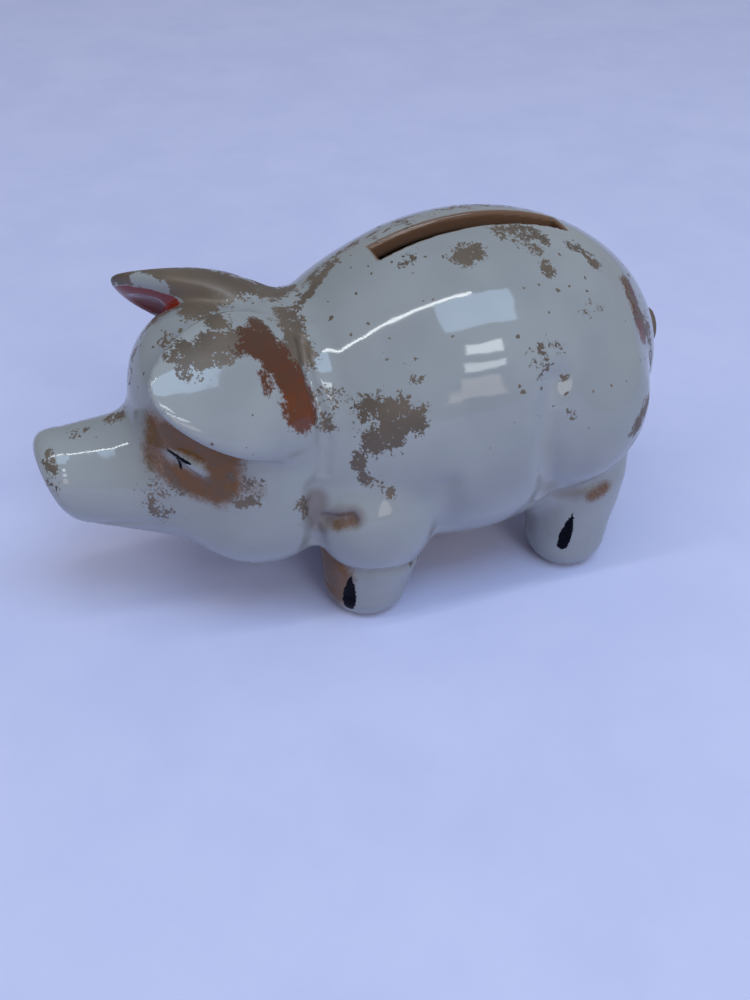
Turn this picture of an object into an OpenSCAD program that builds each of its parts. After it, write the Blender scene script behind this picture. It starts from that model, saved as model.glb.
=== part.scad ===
// Porcelain piggy bank: a hollow slip-cast body with a coin slot in its back,
// luted-on ears, tail and feet, and a plug in the belly.
// Millimetres. Z is up, the snout points to -Y, the pig's left side is +X,
// and the origin is on the floor under the middle of the pig.

/* [Body] */
// Half sizes of the barrel: across, along, up
barrel_r = [23.7, 30.7, 23.6]; // [10:0.1:60]
// Centre of the barrel
barrel_at = [0, 15.8, 33.2]; // [-60:0.1:60]
// Half sizes of the belly under the barrel
belly_r = [21, 21.5, 19.5]; // [10:0.1:60]
// Centre of the belly
belly_at = [0, 12, 26]; // [-60:0.1:60]
// Half sizes of the chest
chest_r = [18, 16.5, 18]; // [10:0.1:40]
// Centre of the chest
chest_at = [0, -3, 28]; // [-40:0.1:40]
// Half sizes of each haunch
haunch_r = [10.4, 10.6, 12]; // [6:0.1:20]
// Centre of the left haunch
haunch_at = [14, 29.2, 29.8]; // [0:0.1:50]
// Half sizes of each rear leg, below its haunch
leg_r = [8.4, 8, 12.5]; // [4:0.1:16]
// Centre of the left rear leg
leg_at = [12, 32, 19.5]; // [0:0.1:50]
// Half sizes of each shoulder
shoulder_r = [8.4, 8.6, 9.6]; // [5:0.1:16]
// Centre of the left shoulder
shoulder_at = [13.8, -3.8, 18.8]; // [-20:0.1:30]
// Thickness of the cast wall
wall = 2.6; // [2:0.1:4]

/* [Head] */
// Half sizes of the skull
skull_r = [17.5, 15.5, 17]; // [8:0.1:30]
// Centre of the skull
skull_at = [0, -19, 30]; // [-40:0.1:40]
// Half sizes of the forehead
brow_r = [12, 9, 10.4]; // [5:0.1:20]
// Centre of the forehead
brow_at = [0, -26.4, 37.6]; // [-40:0.1:50]
// Half sizes of the nape
nape_r = [14, 9.5, 10.6]; // [5:0.1:20]
// Centre of the nape
nape_at = [0, -12, 36.6]; // [-40:0.1:50]
// Half sizes of each jowl
jowl_r = [9.4, 11, 8.8]; // [5:0.1:16]
// Centre of the left jowl
jowl_at = [8.5, -19.5, 20.5]; // [-40:0.1:40]
// Where the snout starts, inside the face
snout_root = [0, -26, 23]; // [-40:0.1:40]
// Radius of the snout at its start
snout_root_r = 11.6; // [6:0.1:16]
// Where the snout ends, behind its flat disc
snout_tip = [0, -47, 26.5]; // [-60:0.1:40]
// Radius of the snout at its end
snout_tip_r = 6.8; // [5:0.1:12]
// How far the flat snout disc is in front of the middle of the pig
snout_reach = 50.3; // [48:0.1:52]
// Section across the neck where the head joins the body
neck_y = -12; // [-14:0.5:-10]

/* [Ears] */
// Half sizes of an ear: along, across, through
ear_r = [12.2, 9.2, 2.9]; // [1:0.1:20]
// Centre of the left ear
ear_at = [12, -23.8, 44.2]; // [-40:0.1:60]
// Direction in which the left ear points
ear_ahead = [0.42, -0.92, 0.27]; // [-1:0.01:1]
// Direction from the left ear's upper edge to its lower edge
ear_down = [0.66, 0.15, -0.72]; // [-1:0.01:1]
// How much narrower an ear is at its tip than at its middle
ear_taper = 0.32; // [0:0.01:0.6]

/* [Tail] */
// Height at which the tail leaves the rump
tail_z = 36; // [30:0.1:42]
// Radius of the tail's single curl
tail_curl_r = 3.1; // [2:0.1:5]
// Thickness of the tail at its root
tail_d = 3.4; // [2:0.1:5]

/* [Feet] */
// Height of a foot up to the rim that holds the thigh
foot_h = 12; // [10:0.5:14]
// Radius of a foot at its widest
foot_r = 6.8; // [5:0.1:8]
// Radius of the flat sole under a foot
sole_r = 4.6; // [3:0.1:6]
// Centre of the front left foot on the floor
front_foot_at = [11.8, -4.9, 0]; // [-40:0.1:40]
// Centre of the rear left foot on the floor
rear_foot_at = [11.6, 31.2, 0]; // [-40:0.1:40]

/* [Coin slot] */
// Length of the coin slot
slot_l = 29; // [25:0.5:34]
// Width of the coin slot
slot_w = 4.6; // [4.6:0.1:6]
// Middle of the coin slot along the back
slot_y = 15.5; // [10:0.5:20]

/* [Stopper] */
// Diameter of the hole in the belly
bore_d = 16; // [12:0.5:18]
// Middle of the belly hole along the belly
bore_y = 13; // [8:0.5:16]
// Gap all round between the plug and the hole
plug_gap = 0.05; // [0.02:0.01:0.1]
// Length of the plug above its rim
plug_l = 7; // [6:0.5:12]
// Diameter of the rim that stops the plug
rim_d = 19.5; // [17:0.5:22]
// Thickness of that rim
rim_t = 2; // [1.5:0.1:3]
// Height of the flat seat that the rim is pushed against
seat_z = 9.9; // [9:0.1:10.5]

/* [Detail] */
// Points round each section of the body
around = 40; // [24:4:56]
// Sections along each shell
sections = 20; // [12:1:28]

/* [Hidden] */
$fn = 64;

GLAZE = [0.86, 0.87, 0.88];
GILT = [0.52, 0.42, 0.34];
CORK = [0.74, 0.56, 0.38];

soft = 4;              // blend where head meets body
crease = 3;            // blend where a shoulder meets the body, twice a haunch's
full = 6;              // blend between the round masses of one form
march_steps = 14;      // steps that find the skin along a ray
axis_z0 = 27;          // height of the section axis at the snout
axis_z1 = 32.8;        // height of the section axis at the rump
collar_h = 3;          // clay collar inside the belly hole
collar_w = 2.4;
seat_rim = 1;          // how much wider the pocket in the belly is than the rim
inset = 1.4;           // how deep a luted piece sits in the wall
big = 200;

// ---- Form: signed distance to the skin, negative inside ----

function abs_x(p) = [abs(p.x), p.y, p.z];
function over(p, r) = [p.x / r.x, p.y / r.y, p.z / r.z];
function pad(p, at, r) =
    let (q = over(p - at, r), near = norm(q), slope = norm(over(q, r)))
    slope < 0.0001 ? -min(r) : near * (near - 1) / slope;
function blend(a, b, k) = min(a, b) - pow(max(k - abs(a - b), 0), 2) / (4 * k);
function carve(a, b, k) = -blend(-a, -b, k);
function snout(p) =
    let (run = snout_tip - snout_root,
         t = max(0, min(1, (p - snout_root) * run / (run * run))))
    norm(p - snout_root - t * run) - (snout_root_r + t * (snout_tip_r - snout_root_r));

function barrel(p) = blend(pad(p, barrel_at, barrel_r), pad(p, belly_at, belly_r), full);
function trunk_skin(p) =
    let (q = abs_x(p),
         round_body = blend(barrel(p), pad(p, chest_at, chest_r), 1.5 * full),
         with_leg = blend(round_body, pad(q, leg_at, leg_r), soft),
         with_haunch = blend(with_leg, pad(q, haunch_at, haunch_r), crease / 2))
    blend(with_haunch, pad(q, shoulder_at, shoulder_r), crease);
function head_skin(p) =
    let (q = abs_x(p),
         crown = blend(pad(p, skull_at, skull_r), pad(p, brow_at, brow_r), full),
         cheeks = blend(crown, pad(q, jowl_at, jowl_r), full),
         neck = blend(cheeks, pad(p, nape_at, nape_r), full))
    carve(blend(neck, snout(p), soft), -(p.y + snout_reach), soft / 2);
function skin(p) = blend(trunk_skin(p), head_skin(p), soft);

// ---- Sections: rings of points found along rays from one straight axis ----

function axis_z(y) = axis_z0 + (axis_z1 - axis_z0) * (y + snout_reach) / (2 * snout_reach);
function on_axis(y) = [0, y, axis_z(y)];
function reach(from, dir, level, t = 0, n = march_steps) =
    n == 0 ? t : reach(from, dir, level, t + (level - skin(from + t * dir)), n - 1);
function ring(y, level) =
    [for (i = [0 : around - 1])
        let (a = 360 * i / around, dir = [cos(a), 0, sin(a)])
        on_axis(y) + reach(on_axis(y), dir, level) * dir];
function pole_y(way, level) = neck_y + way * reach(on_axis(neck_y), [0, way, 0], level, n = 40);
function stations(way, level) =
    let (end = pole_y(way, level) - 0.25 * way)
    [for (i = [0 : sections]) neck_y + (end - neck_y) * sin(90 * i / sections)];

// A shell from the neck section to one end: outer rings, inner rings, and a flat
// face of the wall's own width at the neck.
module shell(way) {
    outer = [for (y = stations(way, 0)) each ring(y, 0)];
    inner = [for (y = stations(way, -wall)) each ring(y, -wall)];
    count = around * (sections + 1);
    poles = [on_axis(pole_y(way, 0)), on_axis(pole_y(way, -wall))];
    function at(base, row, i) = base + row * around + i % around;
    function flip(face, yes) = yes ? [for (i = [len(face) - 1 : -1 : 0]) face[i]] : face;
    function band(base, yes) =
        [for (row = [0 : sections - 1], i = [0 : around - 1])
            each let (a = at(base, row, i), b = at(base, row, i + 1),
                      c = at(base, row + 1, i + 1), d = at(base, row + 1, i))
            [flip([a, b, c], yes), flip([a, c, d], yes)]];
    function cap(base, tip, yes) =
        [for (i = [0 : around - 1])
            flip([at(base, sections, i), at(base, sections, i + 1), tip], yes)];
    lip = [for (i = [0 : around - 1])
        each let (a = at(0, 0, i), b = at(0, 0, i + 1),
                  c = at(count, 0, i + 1), d = at(count, 0, i))
        [flip([b, a, d], way < 0), flip([b, d, c], way < 0)]];
    polyhedron(
        points = concat(outer, inner, poles),
        faces = concat(
            band(0, way < 0), cap(0, 2 * count, way < 0),
            band(count, way > 0), cap(count, 2 * count + 1, way > 0),
            lip));
}

module trunk() {
    color(GLAZE) difference() {
        union() {
            shell(1);
            translate([0, bore_y, seat_z])
                cylinder(h = collar_h, d = bore_d + 2 * collar_w);
        }
        translate([-slot_w / 2, slot_y - slot_l / 2, axis_z1 + barrel_r.z / 2])
            cube([slot_w, slot_l, big]);
        translate([0, bore_y, 0]) cylinder(h = axis_z1, d = bore_d);
        translate([0, bore_y, 0]) cylinder(h = seat_z, d = rim_d + seat_rim);
    }
}

module head() {
    color(GLAZE) shell(-1);
}

// ---- Ears ----

ear_f = ear_ahead / norm(ear_ahead);
ear_d0 = ear_down - (ear_down * ear_f) * ear_f;
ear_d = ear_d0 / norm(ear_d0);
ear_n = cross(ear_f, ear_d);
ear_rows = 12;
ear_pts = 24;

function ear_ring(u) =
    let (s = sqrt(max(0, 1 - u * u)), half = ear_r.y * s * (1 - ear_taper * u))
    [for (i = [0 : ear_pts - 1])
        let (a = 360 * i / ear_pts)
        ear_at + ear_f * ear_r.x * u + ear_d * half * cos(a) + ear_n * ear_r.z * s * sin(a)];

module ear() {
    rows = [for (i = [1 : ear_rows - 1]) ear_ring(-cos(180 * i / ear_rows))];
    last = (ear_rows - 2) * ear_pts;
    ends = [ear_at - ear_f * ear_r.x, ear_at + ear_f * ear_r.x];
    tail_end = (ear_rows - 1) * ear_pts;
    polyhedron(
        points = concat([for (row = rows) each row], ends),
        faces = concat(
            [for (r = [0 : ear_rows - 3], i = [0 : ear_pts - 1])
                each let (j = (i + 1) % ear_pts, a = r * ear_pts)
                [[a + j, a + i, a + ear_pts + i], [a + j, a + ear_pts + i, a + ear_pts + j]]],
            [for (i = [0 : ear_pts - 1]) [i, (i + 1) % ear_pts, tail_end]],
            [for (i = [0 : ear_pts - 1]) [last + (i + 1) % ear_pts, last + i, tail_end + 1]]));
}

module left_ear() {
    color(GLAZE) ear();
}

module right_ear() {
    color(GLAZE) mirror([1, 0, 0]) ear();
}

// ---- Tail: one curl that lies on the rump ----

tail_rows = 22;
tail_pts = 10;
tail_sink = 0.3;       // how far the root's centre line lies off the rump
tail_rise = 1.9;      // how much further off the tip lies, across the root
tail_turn = 380;

function on_rump(x, z) = belly_at.y + reach([x, belly_at.y, z], [0, 1, 0], 0, n = 2 * march_steps);
function tail_path(t) =
    let (a = 90 + tail_turn * t, r = tail_curl_r * (1 - 0.35 * t),
         x = r * cos(a), z = tail_z + r * (sin(a) - 1))
    [x, on_rump(x, z) + tail_sink + tail_rise * t * t, z];
function tail_ring(t) =
    let (run = tail_path(t + 0.01) - tail_path(t - 0.01),
         f = run / norm(run), side = cross(f, [0, 1, 0]), s = side / norm(side), up = cross(s, f),
         r = tail_d / 2 * (1 - 0.55 * t))
    [for (i = [0 : tail_pts - 1])
        let (a = 360 * i / tail_pts)
        tail_path(t) + r * cos(a) * s + r * sin(a) * up];

module tail() {
    last = (tail_rows - 1) * tail_pts;
    color(GILT) polyhedron(
        points = [for (r = [0 : tail_rows - 1]) each tail_ring(r / (tail_rows - 1))],
        faces = concat(
            [for (r = [0 : tail_rows - 2], i = [0 : tail_pts - 1])
                each let (j = (i + 1) % tail_pts, a = r * tail_pts)
                [[a + j, a + i, a + tail_pts + i], [a + j, a + tail_pts + i, a + tail_pts + j]]],
            [[for (i = [0 : tail_pts - 1]) i]],
            [[for (i = [tail_pts - 1 : -1 : 0]) last + i]]));
}

// ---- Feet: round stubs with a flat sole, hollowed on top to fit the thigh ----

module foot(at, thigh_at, thigh_r) {
    bed_r = thigh_r.x - inset;
    color(GLAZE) difference() {
        translate(at) rotate_extrude() union() {
            square([sole_r, foot_h]);
            translate([sole_r, foot_r - sole_r]) circle(r = foot_r - sole_r);
            translate([0, foot_r - sole_r]) square([foot_r, foot_h - foot_r + sole_r]);
        }
        translate([thigh_at.x, thigh_at.y, thigh_at.z - thigh_r.z + inset + bed_r]) sphere(r = bed_r);
    }
}

module front_left_foot() {
    foot(front_foot_at, shoulder_at, shoulder_r);
}

module front_right_foot() {
    mirror([1, 0, 0]) foot(front_foot_at, shoulder_at, shoulder_r);
}

module rear_left_foot() {
    foot(rear_foot_at, leg_at, leg_r);
}

module rear_right_foot() {
    mirror([1, 0, 0]) foot(rear_foot_at, leg_at, leg_r);
}

// ---- Stopper: a cork plug with a rim, pulled down out of the belly ----

module stopper() {
    edge = 0.8;
    plug_r = bore_d / 2 - plug_gap;
    color(CORK) translate([0, bore_y, seat_z - plug_gap - rim_t]) rotate_extrude()
        polygon([[0, 0], [rim_d / 2 - edge, 0], [rim_d / 2, edge], [rim_d / 2, rim_t],
                 [plug_r, rim_t], [plug_r, rim_t + plug_l - edge],
                 [plug_r - edge, rim_t + plug_l], [0, rim_t + plug_l]]);
}

trunk();
head();
left_ear();
right_ear();
tail();
front_left_foot();
front_right_foot();
rear_left_foot();
rear_right_foot();
stopper();
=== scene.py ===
"""A small porcelain piggy bank with worn gilding and orange airbrushing, and a cork in its belly.

The pig is one form, described as a signed distance in millimetres: round masses blended into
each other, with creases, grooves, eyes and mouth pressed into the clay. It is meshed on a grid
and divided into the same pieces as the CAD model. Paint is a set of masks laid on the vertices,
which the glaze material turns into ragged, speckled edges; one of them is painted shade that
darkens the creases.
"""

import math

import bpy
import numpy as np
from mathutils import Matrix, Vector


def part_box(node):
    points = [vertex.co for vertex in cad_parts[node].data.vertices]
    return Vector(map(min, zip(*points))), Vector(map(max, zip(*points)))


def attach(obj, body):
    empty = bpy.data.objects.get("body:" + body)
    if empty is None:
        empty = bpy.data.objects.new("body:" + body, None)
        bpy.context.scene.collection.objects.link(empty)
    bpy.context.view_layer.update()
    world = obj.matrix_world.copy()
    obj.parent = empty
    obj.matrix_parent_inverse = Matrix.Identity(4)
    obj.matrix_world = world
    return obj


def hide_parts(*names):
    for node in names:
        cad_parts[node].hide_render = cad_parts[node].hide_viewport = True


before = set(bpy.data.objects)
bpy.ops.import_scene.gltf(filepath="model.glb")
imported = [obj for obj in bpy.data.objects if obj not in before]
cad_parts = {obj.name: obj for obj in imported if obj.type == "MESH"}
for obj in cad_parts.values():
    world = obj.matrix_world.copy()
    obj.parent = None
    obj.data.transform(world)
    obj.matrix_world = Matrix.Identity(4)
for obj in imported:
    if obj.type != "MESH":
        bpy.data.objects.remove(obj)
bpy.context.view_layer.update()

MM = 0.001
FAR = 1e3


# ---------------------------------------------------------------- signed distances, in millimetres


def unit(v):
    v = np.array(v, float)
    return v / np.linalg.norm(v)


def ball(p, at, radii):
    """Distance to an ellipsoid, near enough to its skin."""
    q = p - np.array(at, float)
    r = np.array(radii, float)
    near = np.linalg.norm(q / r, axis=-1)
    slope = np.linalg.norm(q / r**2, axis=-1)
    return near * (near - 1) / np.maximum(slope, 1e-9)


def cone(p, a, b, ra=0.0, rb=0.0):
    """Distance to a rod from a to b whose radius goes from ra to rb."""
    a = np.array(a, float)
    run = np.array(b, float) - a
    t = np.clip((p - a) @ run / (run @ run), 0, 1)
    return np.linalg.norm(p - a - t[..., None] * run, axis=-1) - (ra + t * (rb - ra))


def trail(p, points):
    """Distance to a line through the points."""
    return np.min([cone(p, a, b) for a, b in zip(points, points[1:])], axis=0)


def blend(a, b, k):
    """Both forms in one, with a soft joint about k millimetres wide."""
    return np.minimum(a, b) - np.maximum(k - np.abs(a - b), 0) ** 2 / (4 * k)


def carve(a, b, k):
    """The first form without the second, with an edge rounded by about k millimetres."""
    return -blend(-a, -b, k)


def mirrored(p):
    """Points folded onto the pig's left side."""
    return np.stack([np.abs(p[..., 0]), p[..., 1], p[..., 2]], -1)


def bump(distance, width):
    """1 on the line and fading away from it."""
    return np.exp(-((distance / width) ** 2))


# ---------------------------------------------------------------- the pig's form

# A ball is its middle and its three radii. A leg or the snout is both ends of a rod and its radii.
BARREL = ((0, 15.8, 33.2), (23.7, 30.7, 23.6))
BELLY = ((0, 12, 26), (21, 21.5, 19.5))
CHEST = ((0, -3, 28), (18, 16.5, 18))
SHOULDER = ((13.9, -3.6, 19.9), (9.0, 9.9, 9.8))
HAUNCH = ((13.9, 28.8, 30.8), (10.3, 10.2, 12.8))
HAUNCH_LEAN = math.radians(17)
SKULL = ((0, -19, 30), (17.5, 15.5, 17))
NAPE = ((0, -12, 36.6), (14, 9.5, 10.6))
BROW = ((0, -26.4, 37.6), (12, 9, 10.4))
JOWL = ((8.5, -19.5, 20.5), (9.4, 11, 8.8))
SNOUT = ((0, -26, 23), (0, -47, 26.5), 11.6, 6.8)
DISC_AT = 49.9
FRONT_LEG = ((12.2, -3.4, 16), (11.8, -4.4, 5.0), 9.0, 6.9)
REAR_LEG = ((11.8, 30.8, 17), (11.6, 30.9, 5.0), 7.9, 6.7)
THIGH_BACK = ((12.6, 36.2, 27), (11.8, 32.8, 14.0), 3.6, 5.0)
FRONT_HOOF_TOP = 11.2
REAR_HOOF_TOP = 9.5
NECK_Y = -12
WALL = 2.6
SLOT_Y, SLOT_L, SLOT_W, SLOT_FLOOR = 15.5, 28.6, 4.1, 45
SLOT_WALL, SLOT_WALL_FADES = 0.1, 6
BORE_Y, BORE_R = 13, 8
SEAT_Z, SEAT_R = 9.9, 10.25
COLLAR_R, COLLAR_TOP = 10.4, 12.9

EAR_AT = np.array([12.0, -23.8, 44.2])
EAR_R = np.array([12.2, 9.2, 4.4])
EAR_TAPER, EAR_THINS, EAR_INNER, EAR_DROOP = 0.32, 0.7, 0.66, 1.2
EAR_AHEAD = unit((0.42, -0.92, 0.27))
EAR_DOWN = np.array((0.66, 0.15, -0.72))
EAR_DOWN = unit(EAR_DOWN - EAR_AHEAD * (EAR_DOWN @ EAR_AHEAD))
EAR_AXES = np.stack([EAR_AHEAD, EAR_DOWN, np.cross(EAR_AHEAD, EAR_DOWN)], 1)

TAIL_Z, TAIL_CURL, TAIL_R = 36, 3.1, 1.6
EYE_AT = np.array([12.7, -30.0, 32.8])
EYE_RUN = unit((3.5, 4.0, -3.0))
EAR_CUP = ((2.5, 0.6, -5.9), (8.6, 6.2, 4.8))


def ear_space(p):
    """Along, across and through the left ear, with its taper taken out."""
    q = (mirrored(p) - EAR_AT) @ EAR_AXES
    run = np.clip(q[..., 0] / EAR_R[0], -1, 1)
    thick = np.where(q[..., 2] > 0, 1 - EAR_THINS * run, EAR_INNER)
    wide = np.where(q[..., 1] > 0, EAR_DROOP, 1) * (1 - EAR_TAPER * run)
    return np.stack([q[..., 0], q[..., 1] / wide, q[..., 2] / thick], -1)


def ears(p):
    """Both ears, hollowed in front."""
    q = ear_space(p)
    leaf = ball(q, (0, 0, 0), EAR_R)
    return carve(leaf, -ball(q, *EAR_CUP), 0.8)


def trunk_mass(p):
    """The barrel without haunches, shoulders and legs, and the points on the left side."""
    q = mirrored(p)
    d = blend(ball(p, *BARREL), ball(p, *BELLY), 6)
    d = blend(d, ball(p, *CHEST), 9)
    return d, q


def haunch_form(q):
    """The haunch's oval leans back as it rises."""
    at, radii = HAUNCH
    c, s = math.cos(HAUNCH_LEAN), math.sin(HAUNCH_LEAN)
    x, y, z = (q - np.array(at))[..., 0], q[..., 1] - at[1], q[..., 2] - at[2]
    return ball(np.stack([x, y * c - z * s, y * s + z * c], -1), (0, 0, 0), radii)


def legs(q):
    return np.minimum(cone(q, *REAR_LEG), cone(q, *FRONT_LEG))


def trunk_form(p):
    d, q = trunk_mass(p)
    d = blend(d, cone(q, *REAR_LEG), 3)
    d = blend(d, cone(q, *THIGH_BACK), 3)
    d = blend(d, haunch_form(q), 2.2)
    d = blend(d, cone(q, *FRONT_LEG), 2)
    d = blend(d, ball(q, *SHOULDER), 1.9)
    return carve(d, -p[..., 2], 0.5)


def head_form(p):
    q = mirrored(p)
    d = blend(ball(p, *SKULL), ball(p, *BROW), 6)
    d = blend(d, ball(q, *JOWL), 6)
    d = blend(d, ball(p, *NAPE), 6)
    d = blend(d, cone(p, *SNOUT), 4)
    face = -(p[..., 1] + DISC_AT) * 0.96 - (p[..., 2] - 29) * 0.28
    return carve(d, face, 2.2)


def body_form(p):
    return blend(trunk_form(p), head_form(p), 2.4)


def hollow(p):
    """Distance to the space inside the cast."""
    d, _ = trunk_mass(p)
    d = blend(d, head_form(p), 3.5) + WALL
    past_slot = np.maximum(np.abs(p[..., 1] - SLOT_Y) - SLOT_L / 2, 0)
    d += SLOT_WALL * bump(past_slot, SLOT_WALL_FADES) * (p[..., 2] > SLOT_FLOOR)
    collar = np.maximum(np.hypot(p[..., 0], p[..., 1] - BORE_Y) - COLLAR_R, p[..., 2] - COLLAR_TOP)
    return np.maximum(d, -collar)


def tail_points():
    """The middle line and radius of the tail: one curl that lies on the rump."""
    points = []
    for t in np.linspace(0, 1, 26):
        a = math.radians(90 + 380 * t)
        r = TAIL_CURL * (1 - 0.35 * t)
        x, z = r * math.cos(a), TAIL_Z + r * (math.sin(a) - 1)
        rump = BARREL[0][1] + BARREL[1][1] * math.sqrt(
            1 - (x / BARREL[1][0]) ** 2 - ((z - BARREL[0][2]) / BARREL[1][2]) ** 2)
        points.append((np.array([x, rump + 0.3 + 1.7 * t * t, z]), TAIL_R * (1 - 0.55 * t)))
    return points


def tail_form(p):
    d = np.full(p.shape[:-1], FAR)
    close = (p[..., 1] > 38) & (np.abs(p[..., 0]) < 9) & (np.abs(p[..., 2] - TAIL_Z) < 11)
    q = p[close]
    if len(q):
        line = tail_points()
        d[close] = np.min([cone(q, a, b, ra, rb) for (a, ra), (b, rb) in zip(line, line[1:])], axis=0)
    return d


# Lines that are pressed into the clay, on the left side.
NECK_FOLD = [(8.5, -12.4, 46.4), (11, -12.9, 44.7), (13.1, -12.7, 42.7), (14.8, -12.2, 40.3),
             (16.3, -11.9, 37), (16.9, -11.8, 34), (17.1, -12.4, 30)]
CHEEK_FOLD = [(17.1, -13.7, 27.4), (17.2, -14.2, 22.5), (16.6, -14, 18)]
ARM_FOLD = [(17, -12.2, 21.8), (18.7, -10.6, 22.4), (20, -9.2, 23.2)]
CHEEK_RIM = [(16.9, -14.8, 25), (16.6, -14.2, 22.6), (16.3, -13.5, 20.4)]
ARM_EDGE = [(14, -12.4, 14), (15.3, -11.3, 12.7), (17.7, -9.4, 11.9), (19.4, -7.7, 12), (20.3, -5.1, 12.2),
            (20.3, -3.6, 12), (19.9, -1.8, 11.5), (19.1, -0.4, 11), (17.4, 1.6, 10.4), (15, 3, 10.8)]
HAUNCH_FRONT = [(21.8, 20.2, 41), (22.9, 19.2, 37), (23.0, 19.2, 32), (22.2, 20, 27), (20.6, 21.5, 22)]
HAUNCH_EDGE = [(17.6, 22.6, 19.4), (18.2, 25.3, 18.4), (18.8, 27.5, 18.5), (19.4, 29.6, 19.6),
               (20.6, 31.6, 21.6), (21.8, 33, 24.6), (22, 34.6, 28)]
SHOULDER_FOLD = [(22, 4.5, 27), (21.6, 5.2, 22), (20, 5.2, 17)]
MOUTH = [(0, -46.2, 20.2), (3.6, -44.6, 20.4), (7.2, -40, 20.6), (10.2, -34.6, 21.4), (11.4, -32.4, 22.6)]

# Each line's depth and width.
CREASES = [
    (NECK_FOLD, 0.75, 0.85), (CHEEK_FOLD, 0.9, 1.4), (ARM_FOLD, 1.2, 0.95), (CHEEK_RIM, 0.4, 0.55),
    (ARM_EDGE, 0.8, 0.9), (HAUNCH_FRONT, 1.2, 2.2), (HAUNCH_EDGE, 0.6, 1.2), (SHOULDER_FOLD, 0.9, 2.0),
    (MOUTH, 0.45, 0.6),
]
NOSTRIL, NOSTRIL_DEPTH = ((2.5, -50.6, 27.6), (1.15, 2.4, 1.7)), 1.2
SOCKET_DEPTH, SOCKET_WIDTH = 1.0, 3.8
LID_HEIGHT, LID_LONG, LID_WIDE = 1.35, 2.9, 1.3


def eye_lines(q):
    """How far each point is along the closed eye from its middle, and from the eye's line."""
    along = (q - EYE_AT) @ EYE_RUN
    return along, np.linalg.norm(q - EYE_AT - along[..., None] * EYE_RUN, axis=-1)


def relief(p):
    """Depth pressed into the clay: creases, nostrils and eye sockets, less the lids that stand in them."""
    q = mirrored(p)
    d = sum(depth * bump(trail(q, points), width) for points, depth, width in CREASES)
    d += np.maximum(-ball(q, *NOSTRIL), 0) * NOSTRIL_DEPTH
    d += SOCKET_DEPTH * bump(np.linalg.norm(q - EYE_AT, axis=-1), SOCKET_WIDTH)
    along, across = eye_lines(q)
    return d - LID_HEIGHT * np.exp(-((along / LID_LONG) ** 2) - (across / LID_WIDE) ** 2)


def form(p):
    d = blend(body_form(p), ears(p), 3)
    d = blend(d, tail_form(p), 0.9)
    return d


def openings(p):
    """Distance to the coin slot and to the belly's hole with its flat seat, negative inside them."""
    slot = np.maximum(np.abs(p[..., 0]) - SLOT_W / 2, np.abs(p[..., 1] - SLOT_Y) - SLOT_L / 2)
    slot = np.maximum(slot, SLOT_FLOOR - p[..., 2])
    off = np.hypot(p[..., 0], p[..., 1] - BORE_Y)
    bore = np.maximum(off - BORE_R, p[..., 2] - 20)
    seat = np.maximum(off - SEAT_R, p[..., 2] - SEAT_Z)
    return slot, np.minimum(bore, seat)


def solid(p):
    """Distance to the clay, negative inside it."""
    skin = form(p)
    near = np.abs(skin) < 4
    skin[near] += relief(p[near])
    slot, belly = openings(p)
    d = carve(skin, -hollow(p), 0.6)
    d = carve(d, -slot, 0.8)
    return carve(d, -belly, 0.8)


# ---------------------------------------------------------------- pieces

EMPTY, TRUNK, HEAD, LEFT_EAR, RIGHT_EAR, TAIL, FRONT_LEFT, FRONT_RIGHT, REAR_LEFT, REAR_RIGHT = range(10)
PIECES = {TRUNK: "trunk", HEAD: "head", LEFT_EAR: "left_ear", RIGHT_EAR: "right_ear", TAIL: "tail",
          FRONT_LEFT: "front_left_foot", FRONT_RIGHT: "front_right_foot",
          REAR_LEFT: "rear_left_foot", REAR_RIGHT: "rear_right_foot"}


def foot_field(p):
    """Negative in a hoof: below its top, and nearer a leg than the belly."""
    body, q = trunk_mass(p)
    top = np.where(p[..., 1] < 13, FRONT_HOOF_TOP, REAR_HOOF_TOP)
    return np.maximum(p[..., 2] - top, legs(q) - body)


def ear_field(p):
    """Negative where the ear stands out of the head."""
    return ears(p) - body_form(p)


def tail_field(p):
    """Negative where the tail stands out of the rump."""
    return tail_form(p) - body_form(p)


def piece_of(p):
    """The piece that each point of the clay belongs to."""
    label = np.where(p[..., 1] > NECK_Y, TRUNK, HEAD).astype(np.int8)
    left = p[..., 0] > 0
    ear = (ear_field(p) < 0) & (p[..., 1] < -8) & (p[..., 2] > 30)
    label[ear] = np.where(left[ear], LEFT_EAR, RIGHT_EAR)
    label[tail_field(p) < 0] = TAIL
    foot = (foot_field(p) < 0) & (p[..., 2] < FRONT_HOOF_TOP)
    front = p[..., 1] < 13
    label[foot & front & left] = FRONT_LEFT
    label[foot & front & ~left] = FRONT_RIGHT
    label[foot & ~front & left] = REAR_LEFT
    label[foot & ~front & ~left] = REAR_RIGHT
    return label


def seam_between(p, a, b):
    """A field that is zero on the joint between pieces a and b."""
    pair = {a, b}
    if pair & {LEFT_EAR, RIGHT_EAR}:
        return ear_field(p)
    if TAIL in pair:
        return tail_field(p)
    if pair & {FRONT_LEFT, FRONT_RIGHT, REAR_LEFT, REAR_RIGHT}:
        return foot_field(p)
    return p[..., 1] - NECK_Y


# ---------------------------------------------------------------- meshing

STEP = 0.55
LOW = np.array([-26.0, -53.0, -1.2])
HIGH = np.array([26.0, 53.0, 59.0])


def slope(field, p, h=0.02):
    """The field's value and gradient at each point."""
    grad = np.empty(p.shape)
    for k in range(3):
        step = np.zeros(3)
        step[k] = h
        grad[:, k] = (field(p + step) - field(p - step)) / (2 * h)
    return field(p), grad


def settle(field, p, limit):
    """Points moved onto the field's zero, by at most limit."""
    value, grad = slope(field, p)
    move = -(value / np.maximum((grad**2).sum(-1), 0.05))[:, None] * grad
    size = np.linalg.norm(move, axis=-1, keepdims=True)
    return p + move * np.minimum(1, limit / np.maximum(size, 1e-9))


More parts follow.
